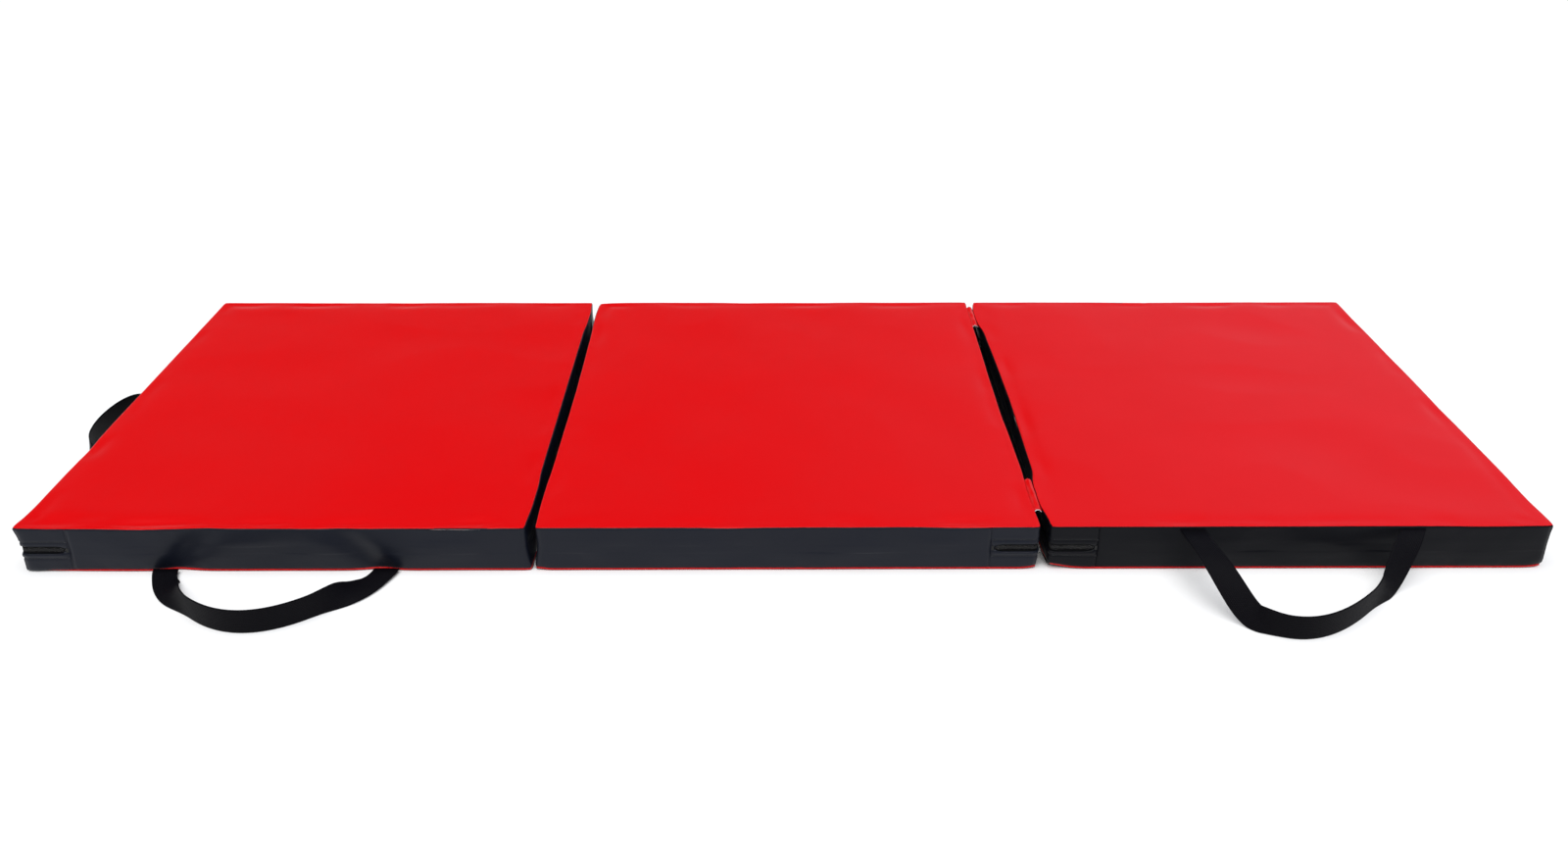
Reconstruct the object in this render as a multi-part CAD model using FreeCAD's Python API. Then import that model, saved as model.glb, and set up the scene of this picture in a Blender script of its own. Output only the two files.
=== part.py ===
import FreeCAD, Part
import math
import os

from FreeCAD import Vector

# Three-panel folding gym mat, lying open on the floor, in millimetres.
# Origin: centre of the centre panel's underside. +X runs along the row of panels,
# +Y from the front edge to the back edge, +Z up. The floor is z = 0.

# ---- driving dimensions ----
panel_length = 592.0  # along X
panel_depth = 700.0  # along Y
panel_height = 60.0
panel_gap = 12.0  # between neighbouring panels
corner_radius = 6.0  # upright corners, in plan
roll_radius = 4.0  # rolled edge of the top and bottom skins; the seams lie at its foot
vinyl = 1.0  # cover thickness, with its knitted backing
foam_clearance = 0.3  # between foam and cover

zip_wrap = 57.0  # how far each zip runs round both corners
zip_slot = 10.0  # opening between the folded edges of the two zip bands
coil_width = 5.8
coil_outer = 0.2  # depth of the coil's outer face behind the cover's surface
coil_inner = 2.4
tape_width = 11.0
tape_thickness = 0.6
tape_spacing = 6.0  # between the inner edges of the two tapes
groove_depth = 4.0  # relief in the foam behind the zip
groove_height = 34.0

slider_length = 12.0
slider_width = 8.4
plate_thickness = 1.0
pull_length = 22.0  # pivot to tip
pull_width = 8.0
pull_thickness = 1.2
pull_pivot = 2.0  # pivot's height above the cover's surface
pull_window = 6.5  # pivot to the near end of the tab

hinge_length = 76.0  # of each hinge tab, along Y
hinge_centres = {"front": -274.0, "rear": 290.0}
hinge_bulge = 3.2  # how far the middle of a tab stands out from the seams
hinge_thickness = 0.8
hinge_clearance = 0.15

strap_width = 30.0
strap_thickness = 1.6
strap_lift = 0.2  # least height of a handle above the floor

# each panel's centre in X, the side that its zip is on, and where its zip slider is parked in Y
panel_pitch = panel_length + panel_gap
panels = {
    "left": (-panel_pitch, -1, 310.0),
    "centre": (0.0, 1, 310.0),
    "right": (panel_pitch, -1, 250.0),
}

# Each handle leaves its seam flat, stands up on its edge, swings out and comes back the same way.
# middle is halfway between its two roots, and run points from the first root to the second. root is
# the height of the strap's lower edge there. reach is how far out it lies, peak the share of the way
# at which it does, and a smaller full makes a squarer loop. turn and fall are the shares of the way
# that it takes to stand up and to come down to the floor.
handle_half_span = 130.0
handle_steps = 24
handles = {
    "front_left_handle": {
        "middle": (-panel_pitch, -panel_depth / 2), "run": (1, 0), "out": (0, -1), "half_span": handle_half_span,
        "root": 3.4, "reach": 122.0, "peak": 0.5, "full": 0.7, "turn": 0.25, "fall": 0.1,
    },
    "front_right_handle": {
        "middle": (panel_pitch, -panel_depth / 2), "run": (1, 0), "out": (0, -1), "half_span": handle_half_span,
        "root": 54.4, "reach": 140.0, "peak": 0.35, "full": 0.9, "turn": 0.3, "fall": 0.18,
    },
    "end_handle": {
        "middle": (-panel_pitch - panel_length / 2, 0), "run": (0, -1), "out": (-1, 0), "half_span": 125.0,
        "root": 3.4, "reach": 55.0, "peak": 0.5, "full": 0.6, "turn": 0.35, "fall": 0.1,
    },
}
root_gap = 1.5  # from the wall to the middle of the strap at its roots

mid_height = panel_height / 2
seam_top = panel_height - roll_radius
seam_bottom = roll_radius


def save(name, shape):
    """Write one sub-part to its own STEP file."""
    shape.exportStep("parts/%s.step" % name)


def box(x0, x1, y0, y1, z0, z1):
    """An axis-aligned block between two corners, given in any order."""
    low = Vector(min(x0, x1), min(y0, y1), min(z0, z1))
    return Part.makeBox(abs(x1 - x0), abs(y1 - y0), abs(z1 - z0), low)


def slab(centre_x, inset, z0, z1):
    """The panel's plan outline, moved inwards by inset and raised from z0 to z1."""
    half_x = panel_length / 2 - inset
    half_y = panel_depth / 2 - inset
    block = box(centre_x - half_x, centre_x + half_x, -half_y, half_y, z0, z1)
    upright = [e for e in block.Edges if abs(e.tangentAt(e.FirstParameter).z) > 0.99]
    return block.makeFillet(corner_radius - inset, upright)


def cushion(centre_x, inset):
    """The whole panel moved inwards by inset, with its top and bottom edges rolled."""
    z0 = inset
    z1 = panel_height - inset
    block = slab(centre_x, inset, z0, z1)
    rims = [e for e in block.Edges if e.BoundBox.ZLength < 0.01]
    return block.makeFillet(roll_radius - inset, rims)


def ring(centre_x, outer_inset, inner_inset, z0, z1):
    """A wall round the panel between two insets."""
    inside = slab(centre_x, inner_inset, z0 - 1, z1 + 1)
    return slab(centre_x, outer_inset, z0, z1).cut(inside)


def zip_zone(centre_x, side, reach):
    """The end of the panel that a zip runs round: its wall and both corners."""
    wall = centre_x + side * panel_length / 2
    return box(wall - side * reach, wall + side * reach, -panel_depth, panel_depth, -1, panel_height + 1)


def skins(centre_x):
    """Top and bottom cover panels, each with its rolled edge down to the seam."""
    shell = cushion(centre_x, 0).cut(cushion(centre_x, vinyl))
    half = panel_pitch
    above = box(centre_x - half, centre_x + half, -half, half, seam_top, panel_height + 1)
    below = box(centre_x - half, centre_x + half, -half, half, -1, seam_bottom)
    return shell.common(above), shell.common(below)


def bands(centre_x, side):
    """The boxing round the sides: one plain band, and two zip bands with a slot between."""
    zone = zip_zone(centre_x, side, zip_wrap)
    plain = ring(centre_x, 0, vinyl, seam_bottom, seam_top).cut(zone)
    upper = ring(centre_x, 0, vinyl, mid_height + zip_slot / 2, seam_top).common(zone)
    lower = ring(centre_x, 0, vinyl, seam_bottom, mid_height - zip_slot / 2).common(zone)
    return plain, upper, lower


def tapes(centre_x, side):
    """Woven zip tapes, sewn behind the folded edges of the zip bands."""
    zone = zip_zone(centre_x, side, zip_wrap - 1)
    back = vinyl + tape_thickness
    near = tape_spacing / 2
    upper = ring(centre_x, vinyl, back, mid_height + near, mid_height + near + tape_width)
    lower = ring(centre_x, vinyl, back, mid_height - near - tape_width, mid_height - near)
    return upper.common(zone), lower.common(zone)


def coil(centre_x, side, slider_y):
    """The closed coil chain, parted in two round the slider's bridge and beyond it."""
    half = coil_width / 2
    chain = ring(centre_x, coil_outer, coil_inner, mid_height - half, mid_height + half)
    chain = chain.common(zip_zone(centre_x, side, zip_wrap - 4))
    wall = centre_x + side * panel_length / 2
    parting = box(wall - side * zip_wrap, wall + side, slider_y + 1, panel_depth, mid_height - 1.3, mid_height + 1.3)
    return chain.cut(parting)


def stops(centre_x, side):
    """A moulded stop across each end of the coil."""
    half = coil_width / 2
    found = []
    for end in (-1, 1):
        x = centre_x + side * (panel_length / 2 - zip_wrap + 2)
        face = end * panel_depth / 2
        found.append(box(x - 1.5, x + 1.5, face - end * 0.1, face - end * 2.6, mid_height - half, mid_height + half))
    return Part.makeCompound(found)


def slider(centre_x, side, y):
    """Two plates joined by a bridge between the coil halves, with a bail on top."""
    wall = centre_x + side * panel_length / 2
    half_l = slider_length / 2
    half_w = slider_width / 2
    z = mid_height

    def layer(out0, out1, y0, y1, half):
        return box(wall + side * out0, wall + side * out1, y + y0, y + y1, z - half, z + half)

    inner_face = -coil_inner - 0.3
    body = layer(0, plate_thickness, -half_l, half_l, half_w)
    corners = [e for e in body.Edges if abs(e.tangentAt(e.FirstParameter).x) > 0.99]
    body = body.makeFillet(2.0, corners)
    under = layer(inner_face - 0.8, inner_face, -half_l, half_l, half_w)
    corners = [e for e in under.Edges if abs(e.tangentAt(e.FirstParameter).x) > 0.99]
    body = body.fuse(under.makeFillet(2.0, corners))
    body = body.fuse(layer(inner_face, 0, half_l - 4, half_l - 1, 1.0))
    bail = layer(plate_thickness, pull_pivot + 2, -4.5, 4.5, 1.0)
    ends = [e for e in bail.Edges if abs(e.tangentAt(e.FirstParameter).z) > 0.99]
    bail = bail.makeFillet(0.9, [e for e in ends if abs(e.CenterOfMass.x - wall) > pull_pivot])
    bail = bail.cut(layer(plate_thickness, pull_pivot + 1, -3.3, 3.3, 2.0))
    return body.fuse(bail).removeSplitter()


def pull(centre_x, side, y):
    """The pull tab: a crossbar under the bail, two arms past it, and a rounded tab."""
    wall = centre_x + side * panel_length / 2
    x = wall + side * pull_pivot
    half_t = pull_thickness / 2
    half_w = pull_width / 2
    arm = 3.0
    window = 1.6
    z = mid_height
    bar = Part.makeCylinder(half_t, 2 * arm, Vector(x, y, z - arm), Vector(0, 0, 1))
    body = bar
    for s in (-1, 1):
        body = body.fuse(box(x - half_t, x + half_t, y - pull_window - 1, y, z + s * window, z + s * arm))
    tab = box(x - half_t, x + half_t, y - pull_length, y - pull_window, z - half_w, z + half_w)
    corners = [e for e in tab.Edges if abs(e.tangentAt(e.FirstParameter).x) > 0.99]
    tab = tab.makeFillet(1.2, corners)
    hole = Part.makeCylinder(1.5, 4, Vector(x - 2, y - pull_length + 4, z), Vector(1, 0, 0))
    return body.fuse(tab.cut(hole)).removeSplitter()


def foam(centre_x, side):
    """The foam core, relieved behind the zip."""
    inset = vinyl + foam_clearance
    half = groove_height / 2
    relief = ring(centre_x, 0, groove_depth, mid_height - half, mid_height + half)
    relief = relief.common(zip_zone(centre_x, side, zip_wrap + 1))
    return cushion(centre_x, inset).cut(relief)


def hinge_tab(seam_x, seam_z, up, y):
    """A vinyl tab across a joint, bowed out between the two seams that hold it."""
    half = panel_gap / 2 - hinge_clearance
    crown = seam_z + up * hinge_bulge
    t = up * hinge_thickness
    lower = Part.Arc(
        Vector(seam_x - half, 0, seam_z),
        Vector(seam_x, 0, crown),
        Vector(seam_x + half, 0, seam_z),
    ).toShape()
    upper = Part.Arc(
        Vector(seam_x + half, 0, seam_z - t),
        Vector(seam_x, 0, crown - t),
        Vector(seam_x - half, 0, seam_z - t),
    ).toShape()
    ends = [
        Part.makeLine(Vector(seam_x + half, 0, seam_z), Vector(seam_x + half, 0, seam_z - t)),
        Part.makeLine(Vector(seam_x - half, 0, seam_z - t), Vector(seam_x - half, 0, seam_z)),
    ]
    outline = Part.Wire([lower, ends[0], upper, ends[1]])
    strip = Part.Face(outline).extrude(Vector(0, hinge_length, 0))
    strip.translate(Vector(0, y - hinge_length / 2, 0))
    return strip


def ease(t):
    """A smooth step from 0 to 1."""
    t = min(1.0, max(0.0, t))
    return t * t * (3 - 2 * t)


def route(look):
    """The stations of one handle: middle x and y, height of the lower edge, direction across."""
    bend = math.log(0.5) / math.log(look["peak"])
    stations = []
    for k in range(handle_steps + 1):
        t = k / handle_steps
        near = min(t, 1 - t)
        sideways = look["half_span"] * (2 * t - 1)
        swing = max(0.0, math.sin(math.pi * t**bend)) ** look["full"]
        outward = root_gap + look["reach"] * swing
        height = look["root"] * (1 - ease(near / look["fall"]))
        tip = math.pi / 2 * ease(near / look["turn"])
        lean = math.cos(tip) if t < 0.5 else -math.cos(tip)
        x, y = (look["middle"][n] + look["run"][n] * sideways + look["out"][n] * outward for n in (0, 1))
        across = (look["run"][0] * lean, look["run"][1] * lean, math.sin(tip))
        stations.append((x, y, height, across))
    return stations


def strap(stations):
    """A ribbon of webbing through its stations, as one closed solid."""
    turns = [Vector(*s[3]).normalize() for s in stations]
    line = []
    for (x, y, lower_edge, _), w in zip(stations, turns):
        flat_share = math.sqrt(max(0.0, 1 - w.z**2))
        rise = strap_width / 2 * w.z + strap_thickness / 2 * flat_share
        line.append(Vector(x, y, lower_edge + strap_lift + rise))
    sections = []
    for i, (middle, w) in enumerate(zip(line, turns)):
        along = line[min(i + 1, len(line) - 1)] - line[max(i - 1, 0)]
        if i in (0, len(line) - 1) and abs(stations[0][2]) < panel_height / 2:
            along = Vector(along.x, along.y, 0)
        face = along.cross(w).normalize() * (strap_thickness / 2)
        edge = w * (strap_width / 2)
        corners = [middle + edge + face, middle - edge + face, middle - edge - face, middle + edge - face]
        lift = Vector(0, 0, max(0.0, strap_lift - min(c.z for c in corners)))
        corners = [c + lift for c in corners]
        sections.append(Part.makePolygon(corners + corners[:1]))
    return Part.makeLoft(sections, True, True)


def main():
    os.makedirs("parts", exist_ok=True)
    for name, (centre_x, side, slider_y) in panels.items():
        top, bottom = skins(centre_x)
        plain, upper, lower = bands(centre_x, side)
        tape_upper, tape_lower = tapes(centre_x, side)
        save(name + "_foam_core", foam(centre_x, side))
        save(name + "_top_skin", top)
        save(name + "_bottom_skin", bottom)
        save(name + "_side_band", plain)
        save(name + "_zip_band_upper", upper)
        save(name + "_zip_band_lower", lower)
        save(name + "_zip_tape_upper", tape_upper)
        save(name + "_zip_tape_lower", tape_lower)
        save(name + "_zip_coil", coil(centre_x, side, slider_y))
        save(name + "_zip_stops", stops(centre_x, side))
        save(name + "_zip_slider", slider(centre_x, side, slider_y))
        save(name + "_zip_pull", pull(centre_x, side, slider_y))
    for place, y in hinge_centres.items():
        save("left_hinge_tab_" + place, hinge_tab(-panel_pitch / 2, seam_bottom, -1, y))
        save("right_hinge_tab_" + place, hinge_tab(panel_pitch / 2, seam_top, 1, y))
    for name, look in handles.items():
        save(name, strap(route(look)))


main()
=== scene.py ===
import math

import bpy
import numpy as np
from mathutils import Matrix, Vector


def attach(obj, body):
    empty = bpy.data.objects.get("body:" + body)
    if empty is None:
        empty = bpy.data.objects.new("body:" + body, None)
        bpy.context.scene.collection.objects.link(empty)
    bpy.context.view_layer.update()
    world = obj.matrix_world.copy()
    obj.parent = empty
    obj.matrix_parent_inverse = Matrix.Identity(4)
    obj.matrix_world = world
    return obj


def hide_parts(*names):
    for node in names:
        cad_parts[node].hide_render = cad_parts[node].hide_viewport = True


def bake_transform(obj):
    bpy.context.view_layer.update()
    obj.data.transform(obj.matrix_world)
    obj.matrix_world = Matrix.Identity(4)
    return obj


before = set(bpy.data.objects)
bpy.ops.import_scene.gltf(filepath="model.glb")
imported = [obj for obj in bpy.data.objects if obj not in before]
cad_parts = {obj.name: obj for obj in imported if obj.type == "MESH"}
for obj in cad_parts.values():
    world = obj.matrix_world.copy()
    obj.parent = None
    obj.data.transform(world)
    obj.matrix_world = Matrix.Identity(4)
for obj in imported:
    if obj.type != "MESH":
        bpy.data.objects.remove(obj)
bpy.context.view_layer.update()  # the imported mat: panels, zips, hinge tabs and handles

mm = 0.001
print("frame loaded:", len(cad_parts), "parts")

# Where the viewer stands, in metres and degrees in the mat's own frame.
cameraSetup = {
    "eye": (-0.021, -1.731, 0.898),
    "pitch": 27.03,  # below the horizon
    "yaw": 0.64,  # to the right of +Y
    "roll": 0.20,
    "lens": 31.68,
    "sensor": 36.0,
}


def makeCamera(setup):
    pitch, yaw, roll = (math.radians(setup[k]) for k in ("pitch", "yaw", "roll"))
    forward = Vector((math.sin(yaw) * math.cos(pitch), math.cos(yaw) * math.cos(pitch), -math.sin(pitch)))
    level = Vector((math.cos(yaw), -math.sin(yaw), 0))
    upright = level.cross(forward)
    right = level * math.cos(roll) + upright * math.sin(roll)
    up = upright * math.cos(roll) - level * math.sin(roll)
    data = bpy.data.cameras.new("camera")
    data.lens = setup["lens"]
    data.sensor_width = setup["sensor"]
    cam = bpy.data.objects.new("camera", data)
    cam.matrix_world = Matrix((right, up, -forward)).transposed().to_4x4()
    cam.location = setup["eye"]
    bpy.context.scene.collection.objects.link(cam)
    bpy.context.scene.camera = cam


makeCamera(cameraSetup)
print("camera set")


def toLinear(hexColour):
    parts = [int(hexColour[i:i + 2], 16) / 255 for i in (1, 3, 5)]
    return [c / 12.92 if c <= 0.04045 else ((c + 0.055) / 1.055) ** 2.4 for c in parts] + [1.0]


def addNode(tree, kind, settings=None, links=None):
    # a key is a socket's name or number, or else one of the node's own settings
    node = tree.nodes.new(kind)
    for key, value in (settings or {}).items():
        if isinstance(key, int) or key in node.inputs:
            node.inputs[key].default_value = value
        else:
            setattr(node, key, value)
    for key, source in (links or {}).items():
        tree.links.new(source, node.inputs[key])
    return node


def newMaterial(name, settings):
    material = bpy.data.materials.new(name)
    material.use_nodes = True
    tree = material.node_tree
    tree.nodes.clear()
    shader = addNode(tree, "ShaderNodeBsdfPrincipled", settings)
    addNode(tree, "ShaderNodeOutputMaterial", links={"Surface": shader.outputs["BSDF"]})
    place = addNode(tree, "ShaderNodeTexCoord")
    return material, tree, shader, place


# PVC leatherette: vinyl coated on a knit, then pressed with a leather grain while hot.
# The grain breaks up the gloss; the coat sags a little between the foam's high spots.
vinylLook = {
    "grain": 1.6,  # mm across one pebble of the grain
    "grainDepth": 0.05,  # mm
    "swell": 90.0,  # mm, the slow unevenness of the surface
    "swellDepth": 0.25,  # mm
    "ior": 1.53,
}


def pvcLeatherette(name, colour, deepColour, roughness, look, specular=0.5):
    material, tree, shader, place = newMaterial(
        name, {"IOR": look["ior"], "Specular IOR Level": specular})
    pebbles = addNode(
        tree, "ShaderNodeTexVoronoi",
        {"feature": "SMOOTH_F1", "Scale": 1 / (look["grain"] * mm), "Smoothness": 0.6},
        {"Vector": place.outputs["Object"]})
    creases = addNode(
        tree, "ShaderNodeTexNoise",
        {"Scale": 1 / (look["grain"] * 0.35 * mm), "Detail": 3.0},
        {"Vector": place.outputs["Object"]})
    grain = addNode(
        tree, "ShaderNodeMath", {"operation": "MULTIPLY_ADD", 1: 0.35},
        {0: creases.outputs["Fac"], 2: pebbles.outputs["Distance"]})
    swell = addNode(
        tree, "ShaderNodeTexNoise",
        {"Scale": 1 / (look["swell"] * mm), "Detail": 2.0, "Roughness": 0.4},
        {"Vector": place.outputs["Object"]})
    slow = addNode(
        tree, "ShaderNodeBump", {"Strength": 1.0, "Distance": look["swellDepth"] * mm},
        {"Height": swell.outputs["Fac"]})
    fine = addNode(
        tree, "ShaderNodeBump", {"Strength": 1.0, "Distance": look["grainDepth"] * mm},
        {"Height": grain.outputs["Value"], "Normal": slow.outputs["Normal"]})
    tree.links.new(fine.outputs["Normal"], shader.inputs["Normal"])
    patches = addNode(
        tree, "ShaderNodeTexNoise",
        {"Scale": 1 / (160 * mm), "Detail": 3.0},
        {"Vector": place.outputs["Object"]})
    tone = addNode(
        tree, "ShaderNodeMix",
        {"data_type": "RGBA", 6: toLinear(colour), 7: toLinear(deepColour)},
        {0: patches.outputs["Fac"]})
    tree.links.new(tone.outputs[2], shader.inputs["Base Color"])
    sheen = addNode(
        tree, "ShaderNodeMapRange",
        {"From Min": 0.3, "From Max": 0.7, "To Min": roughness - 0.03, "To Max": roughness + 0.04},
        {"Value": patches.outputs["Fac"]})
    tree.links.new(sheen.outputs["Result"], shader.inputs["Roughness"])
    return material


# Knitted polyester, brushed: the white backing that shows where the vinyl is cut across.
knitLook = {"colour": "#efeeec", "course": 0.9, "roughness": 0.92}


def knitBacking(look):
    material, tree, shader, place = newMaterial(
        "knittedPolyesterBacking",
        {"Base Color": toLinear(look["colour"]), "Roughness": look["roughness"], "Sheen Weight": 0.3})
    loops = addNode(
        tree, "ShaderNodeTexWave",
        {"wave_type": "BANDS", "bands_direction": "Y", "Scale": 0.314 / (look["course"] * mm),
         "Distortion": 1.5, "Detail": 1.0},
        {"Vector": place.outputs["Object"]})
    relief = addNode(
        tree, "ShaderNodeBump", {"Strength": 0.6, "Distance": 0.15 * mm},
        {"Height": loops.outputs["Fac"]})
    tree.links.new(relief.outputs["Normal"], shader.inputs["Normal"])
    return material


# Polypropylene webbing, woven: lengthwise ribs crossed by picks, with a dull waxy glint on each, drawn as a
# painted highlight: the raised crowns of the weave are coloured a lighter black.
# A real rib is about 1.2 mm wide; it is drawn at 2 mm so that it still shows from across a room.
webbingLook = {
    "colour": "#040305",
    # a lighter black for the raised crowns of the weave: painted highlight
    "ridgeHighlight": "#0c0b12",
    "rib": 2.0,
    "pick": 2.4,
    "depth": 0.3,
    "roughness": 0.6,
}


def wovenWebbing(look):
    material, tree, shader, place = newMaterial(
        "wovenPolypropyleneWebbing",
        {"Roughness": look["roughness"], "IOR": 1.49, "Specular IOR Level": 0.08})
    apart = addNode(tree, "ShaderNodeSeparateXYZ", links={"Vector": place.outputs["UV"]})
    across = addNode(
        tree, "ShaderNodeMath", {"operation": "MULTIPLY", 1: math.pi / (look["rib"] * mm)},
        {0: apart.outputs["Y"]})
    ribs = addNode(tree, "ShaderNodeMath", {"operation": "SINE"}, {0: across.outputs["Value"]})
    side = addNode(tree, "ShaderNodeMath", {"operation": "SIGN"}, {0: ribs.outputs["Value"]})
    shift = addNode(
        tree, "ShaderNodeMath", {"operation": "MULTIPLY", 1: math.pi / 2}, {0: side.outputs["Value"]})
    along = addNode(
        tree, "ShaderNodeMath", {"operation": "MULTIPLY_ADD", 1: 2 * math.pi / (look["pick"] * mm)},
        {0: apart.outputs["X"], 2: shift.outputs["Value"]})
    picks = addNode(tree, "ShaderNodeMath", {"operation": "SINE"}, {0: along.outputs["Value"]})
    lifted = addNode(
        tree, "ShaderNodeMath", {"operation": "MULTIPLY_ADD", 1: 0.3, 2: 0.7}, {0: picks.outputs["Value"]})
    rounded = addNode(tree, "ShaderNodeMath", {"operation": "ABSOLUTE"}, {0: ribs.outputs["Value"]})
    weave = addNode(
        tree, "ShaderNodeMath", {"operation": "MULTIPLY"},
        {0: rounded.outputs["Value"], 1: lifted.outputs["Value"]})
    relief = addNode(
        tree, "ShaderNodeBump", {"Strength": 1.0, "Distance": look["depth"] * mm},
        {"Height": weave.outputs["Value"]})
    tree.links.new(relief.outputs["Normal"], shader.inputs["Normal"])
    # painted highlight: lighter colour on the raised crowns of the weave
    tone = addNode(
        tree, "ShaderNodeMix",
        {"data_type": "RGBA", 6: toLinear(look["colour"]), 7: toLinear(look["ridgeHighlight"])},
        {0: weave.outputs["Value"]})
    tree.links.new(tone.outputs[2], shader.inputs["Base Color"])
    return material


# Woven polyester zip tape: a close, flat weave with no gloss.
tapeLook = {"colour": "#060608", "thread": 0.8, "roughness": 0.85}


def zipTape(look):
    material, tree, shader, place = newMaterial(
        "wovenPolyesterTape",
        {"Base Color": toLinear(look["colour"]), "Roughness": look["roughness"], "Specular IOR Level": 0.15})
    threads = addNode(
        tree, "ShaderNodeTexWave",
        {"wave_type": "BANDS", "bands_direction": "DIAGONAL", "Scale": 0.314 / (look["thread"] * mm)},
        {"Vector": place.outputs["Object"]})
    relief = addNode(
        tree, "ShaderNodeBump", {"Strength": 0.8, "Distance": 0.12 * mm},
        {"Height": threads.outputs["Fac"]})
    tree.links.new(relief.outputs["Normal"], shader.inputs["Normal"])
    return material


# Nylon monofilament, extruded and coiled: smooth, with a soft narrow highlight on each turn.
coilLook = {"colour": "#08080a", "roughness": 0.34, "ior": 1.53}


def nylonCoil(look):
    material, tree, shader, place = newMaterial(
        "extrudedNylonCoil",
        {"Base Color": toLinear(look["colour"]), "IOR": look["ior"], "Specular IOR Level": 0.3})
    wear = addNode(
        tree, "ShaderNodeTexNoise", {"Scale": 1 / (6 * mm), "Detail": 2.0},
        {"Vector": place.outputs["Object"]})
    rubbed = addNode(
        tree, "ShaderNodeMapRange",
        {"To Min": look["roughness"] - 0.06, "To Max": look["roughness"] + 0.1},
        {"Value": wear.outputs["Fac"]})
    tree.links.new(rubbed.outputs["Result"], shader.inputs["Roughness"])
    return material


# Die-cast zinc, enamelled black: an even satin film, rubbed to a little more gloss in places.
sliderLook = {"colour": "#141518", "roughness": 0.3, "ior": 1.5}


def enamelledZinc(look):
    material, tree, shader, place = newMaterial(
        "enamelledZinc",
        {"Base Color": toLinear(look["colour"]), "IOR": look["ior"],
         "Coat Weight": 0.3, "Coat Roughness": 0.2})
    peel = addNode(
        tree, "ShaderNodeTexNoise", {"Scale": 1 / (0.7 * mm), "Detail": 2.0},
        {"Vector": place.outputs["Object"]})
    relief = addNode(
        tree, "ShaderNodeBump", {"Strength": 0.3, "Distance": 0.03 * mm},
        {"Height": peel.outputs["Fac"]})
    tree.links.new(relief.outputs["Normal"], shader.inputs["Normal"])
    film = addNode(
        tree, "ShaderNodeMapRange",
        {"To Min": look["roughness"] - 0.08, "To Max": look["roughness"] + 0.08},
        {"Value": peel.outputs["Fac"]})
    tree.links.new(film.outputs["Result"], shader.inputs["Roughness"])
    return material


# Closed-cell polyethylene foam, cut from a block: matt, with fine open half-cells on the cut, the hollow of
# each painted a darker grey as painted shade.
foamLook = {"colour": "#e6e5e0", "shade": "#cfcdc6", "cell": 1.4, "depth": 0.3, "roughness": 0.9}


def cutFoam(look):
    material, tree, shader, place = newMaterial(
        "closedCellFoam", {"Roughness": look["roughness"], "IOR": 1.5})
    cells = addNode(
        tree, "ShaderNodeTexVoronoi", {"Scale": 1 / (look["cell"] * mm)},
        {"Vector": place.outputs["Object"]})
    relief = addNode(
        tree, "ShaderNodeBump", {"Strength": 0.7, "Distance": look["depth"] * mm},
        {"Height": cells.outputs["Distance"]})
    tree.links.new(relief.outputs["Normal"], shader.inputs["Normal"])
    # painted shade: darker grey in the hollow of each half-cell
    tone = addNode(
        tree, "ShaderNodeMix",
        {"data_type": "RGBA", 6: toLinear(look["shade"]), 7: toLinear(look["colour"])},
        {0: cells.outputs["Distance"]})
    tree.links.new(tone.outputs[2], shader.inputs["Base Color"])
    return material


# Bonded polyester thread: two plies twisted, so each stitch carries a slanting groove.
threadLook = {"colour": "#17181c", "roughness": 0.5, "twist": 0.8}


def bondedThread(look):
    material, tree, shader, place = newMaterial(
        "bondedPolyesterThread",
        {"Base Color": toLinear(look["colour"]), "Roughness": look["roughness"], "Sheen Weight": 0.2})
    plies = addNode(
        tree, "ShaderNodeTexWave",
        {"wave_type": "BANDS", "bands_direction": "DIAGONAL", "Scale": 0.314 / (look["twist"] * mm)},
        {"Vector": place.outputs["Object"]})
    relief = addNode(
        tree, "ShaderNodeBump", {"Strength": 0.5, "Distance": 0.08 * mm},
        {"Height": plies.outputs["Fac"]})
    tree.links.new(relief.outputs["Normal"], shader.inputs["Normal"])
    return material


redVinyl = pvcLeatherette("redPvcLeatherette", "#e5080d", "#dc060a", 0.33, vinylLook, specular=0.24)
blackVinyl = pvcLeatherette("blackPvcLeatherette", "#151925", "#12151f", 0.40, vinylLook, specular=0.19)
# The right panel's boxing uses a darker, less glossy copy of the same black vinyl: painted shade for the side
# that falls darker in the light.
shadedBlackVinyl = pvcLeatherette(
    "blackPvcLeatheretteShadedCopy", "#0b0c12", "#090a0f", 0.40, vinylLook, specular=0.12)
whiteKnit = knitBacking(knitLook)
webbing = wovenWebbing(webbingLook)
tapeWeave = zipTape(tapeLook)
coilNylon = nylonCoil(coilLook)
sliderEnamel = enamelledZinc(sliderLook)
foamCut = cutFoam(foamLook)
thread = bondedThread(threadLook)
print("materials made")

# One panel of the mat, in millimetres from the middle of its own underside.
panelCut = {
    "length": 592.0,
    "depth": 700.0,
    "height": 60.0,
    "pitch": 604.0,  # from one panel's middle to the next one's
    "corner": 12.0,  # from the outline to the flat part of the working mesh
    "round": 6.0,  # radius of the upright corners at half height
    "roundSeam": 3.5,  # the same where the seams pull them square
    "seam": 4.0,  # from the top face down to the top seam
    "foot": 3.0,  # from the floor up to the bottom seam
    "seamDepth": 0.9,  # how far the thread pulls the seams in
    "cover": 0.9,  # thickness of the coated cloth
    "zipReach": 45.0,  # that the zip runs on past each corner's rounding
    "cell": 6.0,  # spacing of the working mesh
    "cornerCells": (0, 4, 8, 13, 19, 26, 33, 38, 41, 43.2, 45),  # closer lines by the corners
    "rimCells": (9.0, 6.5, 4.5, 3.0, 2.0, 1.2, 0.5),  # rings in from the outline
}

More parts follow.
